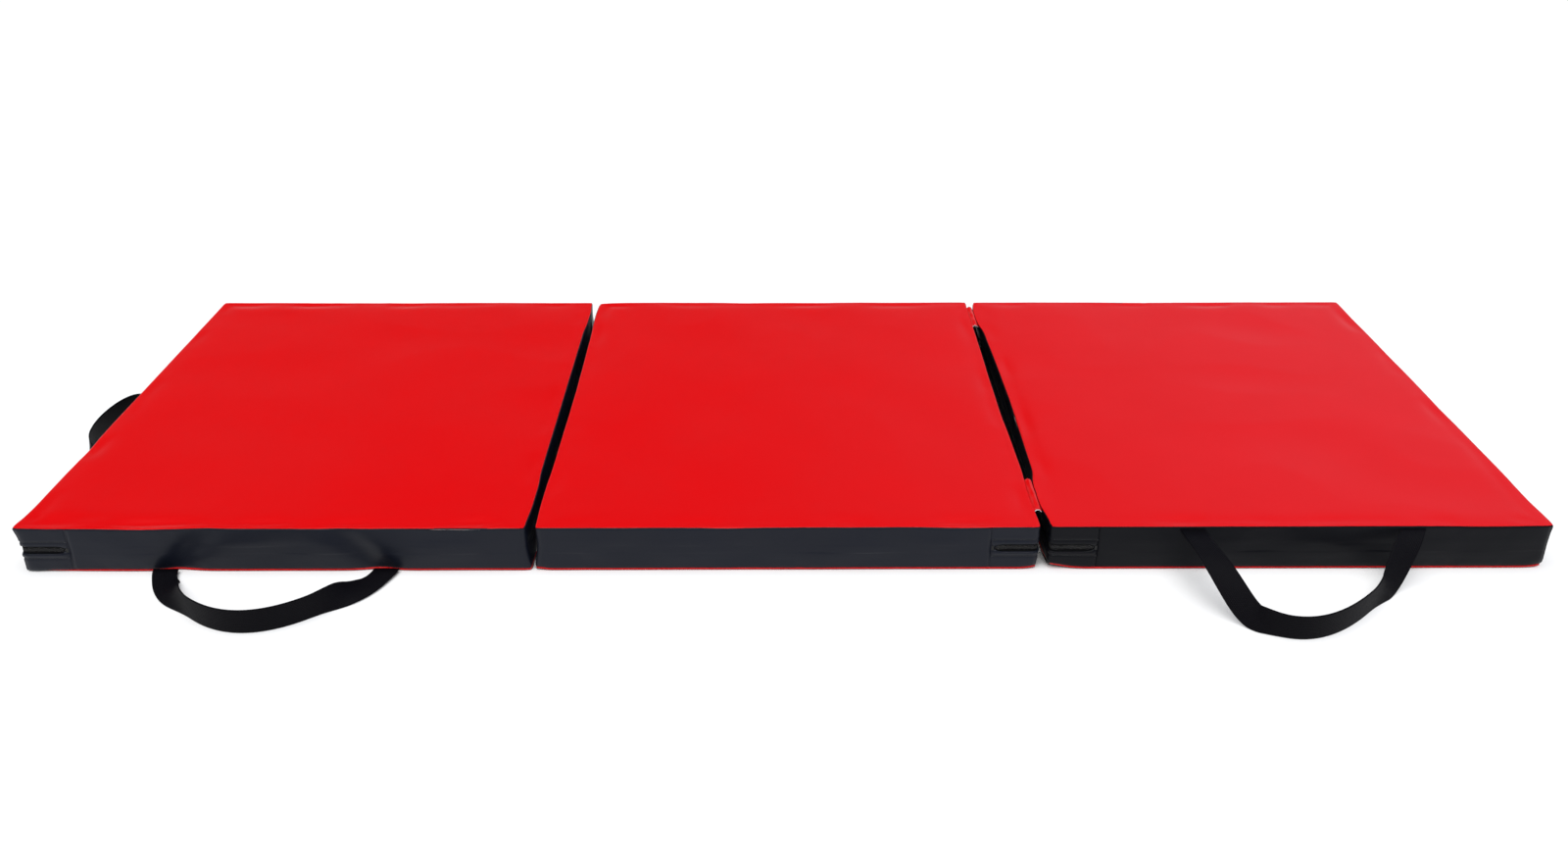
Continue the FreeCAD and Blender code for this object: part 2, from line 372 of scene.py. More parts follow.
# Down the side from the top seam: height, and how far the zip bands push out there.
sideRows = (
    (54.9, 0.0), (53.2, 0.0), (50.5, 0.0), (47.5, 0.0), (44.5, 0.05), (42.6, 0.3), (41.0, -0.8),
    (39.4, 0.3), (37.6, 0.5), (36.2, 0.6), (35.3, 0.3), (34.9, -0.9), (33.0, -1.5), (30.0, -1.5),
    (27.0, -1.4), (25.1, -0.9), (24.9, 0.4), (24.1, 1.2), (22.8, 1.15), (20.8, 0.5), (19.0, -0.7),
    (17.4, 0.2), (15.0, 0.05), (12.0, 0.0), (9.0, 0.0), (6.8, 0.0), (5.1, 0.0),
)
stitchHeights = (41.0, 19.0)
slotRows = (11, 15)  # the two rows at the folded edges of the zip bands

# What makes each panel's cover its own: how full its side is, and a seed for its unevenness.
# endSeam is the depth of the upright seam where the zip stops, and how far above and below it shows.
coverSettings = {
    "left": {"zipSide": -1, "seed": 11, "bulge": 1.0, "endSeam": (0.12, 22)},
    "centre": {"zipSide": 1, "seed": 23, "bulge": 0.9, "endSeam": (0.45, 13)},
    "right": {"zipSide": -1, "seed": 37, "bulge": 0.8, "endSeam": (0.7, 27)},
}


def ripples(points, size, seed, waves=16):
    # smooth unevenness of about one unit, with humps about half of size apart
    rng = np.random.default_rng(seed)
    heading = rng.normal(size=(waves, 3))
    heading /= np.linalg.norm(heading, axis=1)[:, None]
    pace = 2 * math.pi / size * rng.uniform(0.65, 1.5, size=(waves, 1))
    phase = rng.uniform(0, 2 * math.pi, size=waves)
    return np.cos(points @ (heading * pace).T + phase).sum(axis=1) / math.sqrt(waves / 2)


def spread(half, cut):
    # lines across the flat of a panel, closer together by the corners
    near = list(cut["cornerCells"])
    inner = half - near[-1]
    middle = np.linspace(-inner, inner, round(2 * inner / cut["cell"]) + 1)[1:-1]
    return np.array([-half + s for s in near] + list(middle) + [half - s for s in reversed(near)])


def rimOf(gx, gy):
    # the loop of grid points round the flat, each with its corner and its two directions
    nx, ny = len(gx), len(gy)
    loop = [(i, 0) for i in range(nx)]
    loop += [(nx - 1, j) for j in range(1, ny)]
    loop += [(i, ny - 1) for i in range(nx - 2, -1, -1)]
    loop += [(0, j) for j in range(ny - 2, 0, -1)]
    corner, outward, along, reach = [], [], [], []
    for i, j in loop:
        cx = math.copysign(gx[-1], gx[i])
        cy = math.copysign(gy[-1], gy[j])
        corner.append((cx, cy))
        if j in (0, ny - 1):
            outward.append((0, math.copysign(1, cy)))
            along.append((-math.copysign(1, cx), 0))
            reach.append(abs(gx[i] - cx))
        else:
            outward.append((math.copysign(1, cx), 0))
            along.append((0, -math.copysign(1, cy)))
            reach.append(abs(gy[j] - cy))
    return loop, np.array(corner), np.array(outward, float), np.array(along, float), np.array(reach)


def ringAt(rim, e, cut, corner=None):
    # the loop moved e mm outwards, its points shared out over the rounded corners
    _, middle, outward, along, reach = rim
    arc = math.pi / 4 * e
    near = cut["cornerCells"][-1]
    run = np.where(reach < near, reach * (1 + arc / near), reach + arc)
    turn = math.pi / 4 - np.minimum(run / max(e, 1e-6), math.pi / 4)  # from straight out, towards the corner
    bend = min(e, max(1.2, (corner or cut["round"]) - (cut["corner"] - e)))
    flat = e - bend
    towards = np.cos(turn) + np.sin(turn)
    onFlat = e * np.tan(turn) <= flat
    far = flat * towards + np.sqrt(np.maximum((flat * towards) ** 2 - 2 * flat ** 2 + bend ** 2, 0))
    far = np.where(onFlat, e / np.cos(turn), far)
    out, back = far * np.cos(turn), far * np.sin(turn)
    straight = np.maximum(run - arc, 0)
    spots = middle + outward * out[:, None] + along * (straight - back)[:, None]
    radial = outward * (out - flat)[:, None] - along * (back - flat)[:, None]
    radial = np.where((onFlat | (straight > 0))[:, None], outward, radial)
    return spots, radial / np.maximum(np.linalg.norm(radial, axis=1), 1e-9)[:, None]


def edgeFall(d):
    # how far the top has dropped, d mm in from the outline: a slow fall, then a tight roll
    tight = np.clip(1 - d / 3, 0, 1)
    return 2.6 * np.exp(-d / 8) + 1.3 * (1 - np.sqrt(1 - tight ** 2))


def edgeRise(d):
    tight = np.clip(1 - d / 4, 0, 1)
    return 0.3 * np.exp(-d / 6) + 2.0 * (1 - np.sqrt(1 - tight ** 2))


def weavePanel(cut, cover):
    # the whole cover of one panel as one closed net, zip on the +X side
    flatX = cut["length"] / 2 - cut["corner"]
    flatY = cut["depth"] / 2 - cut["corner"]
    gx, gy = spread(flatX, cut), spread(flatY, cut)
    nx, ny = len(gx), len(gy)
    rim = rimOf(gx, gy)
    loop, corner, outward, _, reach = rim
    count = len(loop)
    xx, yy = (a.ravel() for a in np.meshgrid(gx, gy, indexing="ij"))
    inside = np.minimum(flatX - np.abs(xx), flatY - np.abs(yy)) + cut["corner"]

    onZipSide = (outward[:, 0] > 0.5) | ((corner[:, 0] > 0) & (reach < 1e-6))
    zone = onZipSide | ((corner[:, 0] > 0) & (reach <= cut["zipReach"] + 0.01))
    pastCorner = np.where(onZipSide, 0.0, np.where(zone, reach, 99.0))
    push = np.interp(pastCorner, (41, 43.2, 45), (1.0, 0.4, 0.0))
    endSeam = np.where(np.abs(pastCorner - cut["zipReach"]) < 0.1, -1.0, 0.0)
    seamDeep, seamTall = cover["endSeam"]
    slotHalf = np.interp(pastCorner, (33, 38, 41, 43.2, 45), (1.0, 0.86, 0.42, 0.7, 1.0))

    top = cut["height"]
    seamHigh, seamLow = top - cut["seam"], cut["foot"]
    rings = [(cut["corner"] - d, top - edgeFall(d), 0) for d in cut["rimCells"]]
    rings.append((cut["corner"] - cut["seamDepth"], seamHigh, 1))
    rings += [(cut["corner"], z, 2) for z, _ in sideRows]
    rings.append((cut["corner"] - cut["seamDepth"], seamLow, 1))
    rings += [(cut["corner"] - d, edgeRise(d), 3) for d in reversed(cut["rimCells"])]
    firstSide = len(cut["rimCells"]) + 1

    points = [np.column_stack((xx, yy, top - edgeFall(inside)))]
    facing = [np.tile((0.0, 0.0), (nx * ny, 1))]
    inset = [inside]
    zoned = [np.zeros(nx * ny)]
    rows = [np.full(nx * ny, -1)]
    for r, (e, z, kind) in enumerate(rings):
        grow = np.zeros(count)
        height = np.full(count, float(z))
        if kind == 2:
            z0, out = sideRows[r - firstSide]
            tall = np.clip((seamTall - abs(z0 - 30)) / 3, 0, 1)
            grow = push * out + endSeam * seamDeep * tall
            if abs(z0 - 30) < 5.5:
                height = 30 + (z0 - 30) * slotHalf
        squared = math.exp(-(min(abs(z - seamHigh), abs(z - seamLow)) / 7) ** 2)
        bend = cut["round"] + (cut["roundSeam"] - cut["round"]) * squared
        xy, radial = ringAt(rim, e, cut, bend)
        xy = xy + radial * grow[:, None]
        points.append(np.column_stack((xy, height)))
        facing.append(radial)
        inset.append(np.full(count, cut["corner"] - e))
        zoned.append(zone.astype(float))
        rows.append(np.full(count, r))
    points.append(np.column_stack((xx, yy, edgeRise(inside))))
    facing.append(np.tile((0.0, 0.0), (nx * ny, 1)))
    inset.append(inside)
    zoned.append(np.zeros(nx * ny))
    rows.append(np.full(nx * ny, 99))

    faces, parts = [], []
    base = nx * ny
    under = base + len(rings) * count
    for i in range(nx - 1):
        for j in range(ny - 1):
            a, b = i * ny + j, (i + 1) * ny + j
            faces.append((a, b, b + 1, a + 1))
            parts.append("topSkin")
            faces.append((under + a, under + a + 1, under + b + 1, under + b))
            parts.append("bottomSkin")
    last = len(rings) - 1
    slot0, slot1 = (firstSide + k for k in slotRows)
    for r in range(-1, last + 1):
        for k in range(count):
            n = (k + 1) % count
            upper = [loop[m][0] * ny + loop[m][1] if r < 0 else base + r * count + m for m in (k, n)]
            if r == last:
                lower = [under + loop[m][0] * ny + loop[m][1] for m in (k, n)]
            else:
                lower = [base + (r + 1) * count + m for m in (k, n)]
            faces.append((upper[0], lower[0], lower[1], upper[1]))
            if r < firstSide - 1:
                parts.append("topSkin")
            elif r >= firstSide + len(sideRows):
                parts.append("bottomSkin")
            elif not (zone[k] and zone[n]):
                parts.append("sideBand")
            elif slot0 <= r < slot1 and max(pastCorner[k], pastCorner[n]) < 41.5:
                parts.append("slot")
            elif r < (slot0 + slot1) // 2:
                parts.append("zipBandUpper")
            else:
                parts.append("zipBandLower")
    flip = cover["zipSide"]
    net = {
        "points": np.concatenate(points),
        "facing": np.concatenate(facing),
        "inset": np.concatenate(inset),
        "zone": np.concatenate(zoned),
        "row": np.concatenate(rows),
        "faces": np.array(faces),
        "parts": np.array(parts),
        "rim": rim,
        "base": base,
        "count": count,
        "firstSide": firstSide,
        "inZone": np.flatnonzero(zone),
    }
    if flip < 0:  # the same net turned half round puts the zip on the -X side
        net["points"][:, :2] *= -1
        net["facing"] *= -1
    return net


def vertexNormals(points, faces):
    corners = points[faces]
    across = np.cross(corners[:, 2] - corners[:, 0], corners[:, 3] - corners[:, 1])
    total = np.zeros_like(points)
    for k in range(4):
        np.add.at(total, faces[:, k], across)
    return total / np.maximum(np.linalg.norm(total, axis=1), 1e-12)[:, None]


# How the cloth lies over the foam, in mm.
settling = {
    "swell": 0.7,  # slow waves of the sides
    "swellSize": 150.0,
    "pucker": 0.22,  # gathers next to the seams
    "puckerSize": 17.0,
    "hollow": 0.5,  # dips of the top
    "hollowSize": 210.0,
    "rim": 0.8,  # extra dips towards the rim of the top
    "rimSize": 110.0,
    "wander": 0.6,  # how far the top seam strays up and down
    "wanderSize": 170.0,
}


def settle(net, cut, cover, how):
    # moves the net's points out of their drawn places, as a sewn cover sits on its foam
    p = net["points"].copy()
    seed = cover["seed"]
    z = p[:, 2]
    side = (net["row"] >= net["firstSide"] - 1) & (net["row"] <= net["firstSide"] + len(sideRows))
    plan = p * (1, 1, 0)
    low, high = cut["foot"], cut["height"] - cut["seam"]
    belly = np.where(side, np.sin(np.pi * np.clip((z - low) / (high - low), 0, 1)), 0)
    nearSlot = np.clip((np.abs(z - 30) - 5) / 12, 0, 1)
    free = np.where(net["zone"] > 0.5, nearSlot, 1.0)
    out = belly * free * (cover["bulge"] + how["swell"] * ripples(p * (1, 1, 1.5), how["swellSize"], seed))
    toSeam = np.minimum(np.abs(z - low), np.abs(high - z))
    gather = np.where(side, np.exp(-((toSeam - 5) / 4) ** 2), 0) * free
    out += gather * how["pucker"] * ripples(plan, how["puckerSize"], seed + 1)
    p[:, :2] += net["facing"] * out[:, None]

    top = (z > cut["height"] - 3.9) & ~side
    rimShare = np.exp(-((net["inset"] - 11) / 11) ** 2)
    dip = how["hollow"] * np.maximum(0, ripples(plan, how["hollowSize"], seed + 2) + 0.3)
    dip += how["rim"] * rimShare * np.maximum(0, ripples(plan, how["rimSize"], seed + 3) + 0.4)
    dip += 0.3 * how["pucker"] * np.exp(-net["inset"] / 5) * (1 + ripples(plan, how["puckerSize"], seed + 4))
    p[:, 2] -= np.where(top, dip, 0)
    stray = how["wander"] * ripples(plan, how["wanderSize"], seed + 5)
    upper = np.clip((z - 42) / 12, 0, 1) * np.where(side | top, 1, 0)
    upper = upper * np.exp(-np.maximum(net["inset"], 0) / 8)
    p[:, 2] += np.minimum(stray, 0.3) * upper * free
    p[:, 2] = np.clip(p[:, 2], 0.05, cut["height"] + 0.3)
    return p


def addMesh(name, points, faces, material, smooth=True):
    data = bpy.data.meshes.new(name)
    data.from_pydata([tuple(q) for q in points], [], [tuple(int(k) for k in f) for f in faces])
    data.materials.append(material)
    if smooth:
        data.shade_smooth()
    piece = bpy.data.objects.new(name, data)
    bpy.context.scene.collection.objects.link(piece)
    return piece


def standFor(piece, body, nodes=()):
    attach(piece, body)
    if nodes:
        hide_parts(*nodes)


def thicken(points, normals, faces, thickness):
    # the sheet's faces, the same again on the inside, and the cut edge between them
    used = np.unique(faces)
    place = np.full(len(points), -1)
    place[used] = np.arange(len(used))
    outer = place[faces]
    edges = {(int(f[k]), int(f[(k + 1) % len(f)])) for f in outer for k in range(len(f))}
    n = len(used)
    rim = [(b, a, a + n, b + n) for a, b in sorted(edges) if (b, a) not in edges]
    inner = points[used] - normals[used] * thickness
    return np.concatenate((points[used], inner)), np.concatenate((outer, outer[:, ::-1] + n, rim))


coverPieces = {
    "topSkin": ("top_skin", redVinyl, "red_vinyl"),
    "bottomSkin": ("bottom_skin", redVinyl, "red_vinyl"),
    "sideBand": ("side_band", blackVinyl, "black_vinyl"),
    "zipBandUpper": ("zip_band_upper", blackVinyl, "black_vinyl"),
    "zipBandLower": ("zip_band_lower", blackVinyl, "black_vinyl"),
}


def capsule(start, end, radius, sides=6):
    # a short rod with rounded ends, as points and faces
    axis = (end - start) / np.linalg.norm(end - start)
    spare = np.array((0.0, 0.0, 1.0)) if abs(axis[2]) < 0.8 else np.array((1.0, 0.0, 0.0))
    u = np.cross(axis, spare)
    u /= np.linalg.norm(u)
    v = np.cross(axis, u)
    stations = ((start, -0.9, 0.45), (start, 0.0, 1.0), (end, 0.0, 1.0), (end, 0.9, 0.45))
    points = []
    for centre, shift, share in stations:
        for k in range(sides):
            a = 2 * math.pi * k / sides
            spoke = u * math.cos(a) + v * math.sin(a)
            points.append(centre + axis * shift * radius + spoke * share * radius)
    faces = []
    for r in range(len(stations) - 1):
        for k in range(sides):
            n = (k + 1) % sides
            faces.append((r * sides + k, r * sides + n, (r + 1) * sides + n, (r + 1) * sides + k))
    last = (len(stations) - 1) * sides
    faces.append(tuple(range(sides))[::-1])
    faces.append(tuple(last + k for k in range(sides)))
    return points, faces


def addRods(name, rods, radius, material, sides=6):
    points, faces = [], []
    for start, end in rods:
        more, rings = capsule(np.array(start), np.array(end), radius, sides)
        faces += [tuple(k + len(points) for k in f) for f in rings]
        points += more
    return addMesh(name, points, faces, material)


def walk(line, pitch, first=0.0):
    # points along a line every pitch mm, with the direction of travel there
    steps = np.linalg.norm(np.diff(line, axis=0), axis=1)
    length = np.concatenate(((0,), np.cumsum(steps)))
    at = np.arange(first, length[-1] - pitch / 2, pitch)
    spots = np.column_stack([np.interp(at, length, line[:, k]) for k in range(3)])
    ahead = np.column_stack([np.interp(at + 0.5, length, line[:, k]) for k in range(3)])
    run = ahead - spots
    return spots, run / np.linalg.norm(run, axis=1)[:, None]


# Lockstitch along the zip bands.
stitchSettings = {"pitch": 3.6, "length": 2.7, "radius": 0.3, "rise": 0.12}

# The nylon coil: one turn every pitch, its two halves meeting in the middle.
coilSettings = {"pitch": 1.5, "radius": 0.52, "depth": 1.25, "overlap": 0.7, "half": 2.9}

# Woven tape behind the slot.
tapeSettings = {"depth": 1.05, "thickness": 0.5, "near": 3.0, "width": 11.0, "reach": 44.0}

zipSliders = {"left": 310.0, "centre": 310.0, "right": 250.0}


def zipPath(net, cut, cover, depth, reach):
    # the line that the zip follows at one depth behind the cover's face, front to back
    xy, _ = ringAt(net["rim"], cut["corner"] - depth, cut)
    xy = xy[net["inZone"]]
    _, _, outward, _, away = net["rim"]
    away = np.where(outward[net["inZone"], 0] > 0.5, 0, away[net["inZone"]])
    return xy[away <= reach + 0.1] * cover["zipSide"]


def buildPanel(name, cut, cover):
    # painted shade: the right panel's boxing takes the darker copy of the black vinyl
    boxing = shadedBlackVinyl if name == "right" else blackVinyl
    net = weavePanel(cut, cover)
    offset = np.array(({"left": -1, "centre": 0, "right": 1}[name] * cut["pitch"], 0, 0))
    net["points"] = net["points"] + offset
    points = settle(net, cut, cover, settling)
    points = nudgeCover(name, net, points)
    points = relax(name, net, points, cut)
    normals = vertexNormals(points, net["faces"])
    body = name + "_panel"
    for part, (node, material, slot) in coverPieces.items():
        faces = net["faces"][net["parts"] == part]
        material = boxing if slot == "black_vinyl" else material
        sheet = thicken(points, normals, faces, cut["cover"])
        piece = addMesh(name + part[0].upper() + part[1:], *sheet, material)
        piece.data.transform(Matrix.Scale(mm, 4))
        standFor(piece, body, [name + "_" + node])

    # the foam, a little inside its cover and cut back behind the zip
    behind = np.where((net["zone"] > 0.5) & (np.abs(points[:, 2] - 30) < 17), 3.0, 0.0)
    foam = points - normals * (cut["cover"] + 0.5 + behind)[:, None]
    piece = addMesh(name + "FoamCore", foam, net["faces"], foamCut)
    piece.data.transform(Matrix.Scale(mm, 4))
    standFor(piece, body, [name + "_foam_core"])

    # stitches
    rods = []
    for height in stitchHeights:
        row = net["firstSide"] + [z for z, _ in sideRows].index(height)
        place = net["base"] + row * net["count"] + net["inZone"]
        line = points[place] + normals[place] * stitchSettings["rise"]
        spots, run = walk(line, stitchSettings["pitch"], 1.5)
        rods += [(s, s + r * stitchSettings["length"]) for s, r in zip(spots, run)]
    piece = addRods(name + "ZipStitches", rods, stitchSettings["radius"], thread)
    piece.data.transform(Matrix.Scale(mm, 4))
    standFor(piece, body)

    # tape
    near, wide = tapeSettings["near"], tapeSettings["width"]
    for part, heights in (("Upper", (near, near + wide)), ("Lower", (-near, -near - wide))):
        levels = np.linspace(heights[0], heights[1], 7)
        path = zipPath(net, cut, cover, tapeSettings["depth"], tapeSettings["reach"])
        sway = 0.12 * ripples(np.column_stack((path, path[:, 0] * 0)), 30, cover["seed"] + 8)
        ladder = [(x + offset[0], y, 30 + level * (1 + 0.01 * s))
                  for level in levels for (x, y), s in zip(path, sway)]
        ladder = np.array(ladder)
        n = len(path)
        faces = np.array([(r * n + k, r * n + k + 1, (r + 1) * n + k + 1, (r + 1) * n + k)
                          for r in range(len(levels) - 1) for k in range(n - 1)])
        flat = vertexNormals(ladder, faces)
        middle = np.array((offset[0], 0, 30))
        if np.sum(flat * (ladder - middle) * (1, 1, 0)) < 0:
            faces, flat = faces[:, ::-1], -flat
        strip = thicken(ladder, flat, faces, tapeSettings["thickness"])
        piece = addMesh(name + "ZipTape" + part, *strip, tapeWeave)
        piece.data.transform(Matrix.Scale(mm, 4))
        standFor(piece, body, [name + "_zip_tape_" + part.lower()])

    # coil
    path = zipPath(net, cut, cover, coilSettings["depth"], 41.5)
    line = np.column_stack((path[:, 0] + offset[0], path[:, 1], np.full(len(path), 30.0)))
    rods = []
    for s in (-1, 1):
        spots, _ = walk(line, coilSettings["pitch"], 0.5 + (s + 1) / 4 * coilSettings["pitch"])
        for q in spots:
            parted = q[1] > zipSliders[name] + 1.5
            tip = 1.5 if parted else -coilSettings["overlap"]
            rods.append((q + (0, 0, s * tip), q + (0, 0, s * (coilSettings["half"] - 0.5))))
    piece = addRods(name + "ZipCoil", rods, coilSettings["radius"], coilNylon)
    piece.data.transform(Matrix.Scale(mm, 4))
    standFor(piece, body, [name + "_zip_coil"])
    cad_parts[name + "_zip_stops"].data.materials.clear()
    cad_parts[name + "_zip_stops"].data.materials.append(coilNylon)
    for part in ("slider", "pull"):
        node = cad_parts[name + "_zip_" + part]
        node.data.materials.clear()
        node.data.materials.append(sliderEnamel)
    return net, points


# Along a joint the top edges bow between the tabs, and are drawn in or let out beside them, in mm.
jointEdges = {
    ("left", 1): {"bow": 0.0, "tab": 2.0},
    ("centre", -1): {"bow": 2.0, "tab": -1.0},
    ("centre", 1): {"bow": -2.5, "tab": -1.0},
    ("right", -1): {"bow": 3.0, "tab": -5.0},
}
tabPlaces = (-274.0, 290.0)


def jointDrift(y, edge):
    middle, half = sum(tabPlaces) / 2, (tabPlaces[1] - tabPlaces[0]) / 2
    across = np.clip((y - middle) / half, -1, 1)
    drift = edge["bow"] * np.cos(np.pi / 2 * across) ** 2
    for place in tabPlaces:
        drift = drift + edge["tab"] * np.exp(-((y - place) / 48) ** 4)
    return drift


# The tabs under the left joint draw the two bottom edges together.
footShift = {("left", 1): 4.4, ("centre", -1): -4.4}

seamLift = 2.7  # mm

# Soft marks: middle, half widths along X, Y and Z, lean of its long side, and shift, in mm.
softMarks = {
    "left": (
        ((-704, -351, 26), (19, 30, 30), 0.8, (0, 4.6, 0)),  # the carrying strap drags the side in
        ((-716, -351, 6), (24, 20, 10), 0.0, (0, 2.0, 0)),
        ((-499, -351, 26), (19, 30, 30), -0.8, (0, 4.6, 0)),
        ((-486, -351, 6), (24, 20, 10), 0.0, (0, 2.0, 0)),
        ((-900, -350, 58), (30, 30, 9), 0.0, (-3.2, 0, 1.0)),
        ((-850, -325, 60), (60, 7, 8), 0.0, (0, 0, -0.9)),  # a crease in the top near its corner
        ((-900, -350, 1), (48, 48, 3.2), 0.0, (0, 5, 0)),  # the bottom seam tucks under here
        ((-900, -350, 5), (48, 48, 4.5), 0.0, (0, 0, -3.4)),
        ((-308, 330, 45), (12, 10, 12), 0.0, (-2.2, 0, 0)),
        ((-308, 305, 38), (12, 7, 14), 0.0, (1.6, 0, 0)),
        ((-700, -338, 60), (150, 5, 6), 0.0, (0, 0, -0.5)),
    ),
    "centre": (
        ((296, -350, 2), (12, 12, 6), 0.0, (-1.0, 1.0, 2.0)),
        ((-296, -350, 2), (9, 9, 6), 0.0, (1.0, 1.0, 1.4)),
        ((-296, 350, 58), (12, 12, 6), 0.0, (0, 0, -1.0)),
    ),
    "right": (
        ((308, -350, 1), (22, 22, 3.2), 0.0, (3, 4, 0)),  # the seam tucks under and the corner lifts
        ((308, -350, 4), (24, 24, 13), 0.0, (0, 0, 3.6)),
        ((900, -350, 3), (14, 14, 5), 0.0, (-1.5, 1.5, 1.5)),
        ((560, -336, 60), (110, 6, 6), 0.0, (0, 0, -0.6)),
    ),
}


def nudgeCover(name, net, points):
    p = points.copy()
    offset = {"left": -1, "centre": 0, "right": 1}[name] * panelCut["pitch"]
    for side in (-1, 1):
        edge = jointEdges.get((name, side))
        if edge:
            fromEdge = panelCut["length"] / 2 - side * (p[:, 0] - offset)
            high = np.clip((p[:, 2] - 35.5) / 19, 0, 1)
            share = high ** 2 * (3 - 2 * high) * np.exp(-(np.maximum(fromEdge, 0) / 22) ** 2)
            p[:, 0] += share * jointDrift(p[:, 1], edge)
        if (name, side) in footShift:
            fromEdge = panelCut["length"] / 2 - side * (p[:, 0] - offset)
            low = np.clip((34 - p[:, 2]) / 30, 0, 1)
            share = low ** 1.5 * np.exp(-(np.maximum(fromEdge, 0) / 14) ** 2)
            p[:, 0] += share * footShift[name, side]
    # the top seam is drawn up to the very edge, over a flatter roll of the red cloth
    z = p[:, 2]
    rise = np.clip((z - 42.5) / 13.5, 0, 1)
    below = z + seamLift * rise ** 2 * (3 - 2 * rise)
    above = 56 + seamLift + (z - 56) * (1 - seamLift / 4)
    drawn = np.where(z < 56, below, above)
    p[:, 2] += np.where(z < 60, drawn - z, 0) * np.clip(1 - net["inset"] / 16, 0, 1)
    held = (net["zone"] > 0.5) & (np.abs(p[:, 2] - 30) < 6)
    for middle, size, lean, shift in softMarks[name]:
        away = (p - np.array(middle)) / np.array(size)
        away[:, 0] -= lean * (p[:, 2] - middle[2]) / size[0]
        share = np.exp(-(away ** 2).sum(axis=1))
        p += np.where(held, 0, share)[:, None] * np.array(shift)
    p[:, 2] = np.clip(p[:, 2], 0.05, panelCut["height"] + 0.3)
    return p


# The cover is relaxed as cloth over its foam, with the zip, the seams and the underside held.
clothSettings = {
    "frames": 14,
    "pressure": 1.2,
    "grow": -0.006,  # the cloth is cut this share larger, which lets it ripple a little
    "cap": 2.0,  # mm that a point may move
    "smooth": 26,
    "seamHold": 0.9,
    "flatHold": 0.35,
}


def relax(name, net, points, cut):
    scene = bpy.context.scene
    piece = addMesh(name + "Cloth", points * mm, net["faces"], redVinyl)
    row, side = net["row"], net["firstSide"]
    last = side + len(sideRows)
    hold = np.full(len(points), clothSettings["flatHold"])
    hold[(row >= side) & (row < last)] = 0.1
    hold[(row == side - 1) | (row == last)] = clothSettings["seamHold"]
    hold[(row == 99) & (net["inset"] > 25)] = 1.0
    hold[(net["zone"] > 0.5) & (np.abs(points[:, 2] - 30) < 12.5)] = 1.0
    group = piece.vertex_groups.new(name="held")
    for level in np.unique(hold):
        group.add([int(k) for k in np.flatnonzero(hold == level)], float(level), "REPLACE")
    cloth = piece.modifiers.new("cloth", "CLOTH")
    how = cloth.settings
    how.quality = 4
    how.mass = 0.25
    how.tension_stiffness = how.compression_stiffness = 18
    how.shear_stiffness = 8
    how.bending_stiffness = 1.5
    how.use_pressure = True
    how.uniform_pressure_force = clothSettings["pressure"]
    how.shrink_min = clothSettings["grow"]
    how.vertex_group_mass = "held"
    how.pin_stiffness = 1.0
    how.effector_weights.gravity = 0
    cloth.collision_settings.use_collision = False
    cloth.point_cache.frame_start = 1
    cloth.point_cache.frame_end = clothSettings["frames"]
    for step in range(1, clothSettings["frames"] + 1):
        scene.frame_set(step)
    done = piece.evaluated_get(bpy.context.evaluated_depsgraph_get()).to_mesh()
    moved = np.empty(len(points) * 3)
    done.vertices.foreach_get("co", moved)
    moved = moved.reshape(-1, 3) / mm
    bpy.data.objects.remove(piece)
    scene.frame_set(1)
    shift = moved - points
    far = np.linalg.norm(shift, axis=1)
    shift *= np.minimum(1, clothSettings["cap"] / np.maximum(far, 1e-9))[:, None]
    # neighbours are drawn along together, so that the close rows at a seam stay in order
    ends = np.concatenate((net["faces"], np.roll(net["faces"], 1, axis=1))).reshape(-1)
    starts = np.concatenate((np.roll(net["faces"], 1, axis=1), net["faces"])).reshape(-1)
    count = np.maximum(np.bincount(starts, minlength=len(points)), 1)[:, None]
    for step in range(clothSettings["smooth"]):
        near = np.column_stack([np.bincount(starts, shift[ends, k], len(points)) for k in range(3)])
        shift = (shift + near / count) / 2
        shift[hold > 0.99] = 0
    settled = points + shift
    settled[:, 2] = np.clip(settled[:, 2], 0.05, cut["height"] + 0.3)
    print("cloth settled:", name, "largest move in mm", round(float(far.max()), 2))
    return settled


for panelName, coverOf in coverSettings.items():
    buildPanel(panelName, panelCut, coverOf)
    print("panel built:", panelName)


# The tabs that join the panels: two folded strips of vinyl at each joint, white backing within.
hingeTabs = {
    "length": 76.0,
    "centres": {"Front": tabPlaces[0], "Rear": tabPlaces[1]},
    "reach": {-1: 2.6, 1: 4.7},  # half of the gap, and a little into the seams
    "sunk": {-1: 1.6, 1: 1.4},  # the tab's edges go this far into the gap past the seams
    "shift": {-1: 0.0, 1: -3.2},  # the edges of the gap stand this far from its middle
    "bulge": {-1: 3.0, 1: 3.2},
    "vinyl": 0.75,
    "knit": 0.6,
    "peep": 0.9,  # of the backing at the cut ends
}


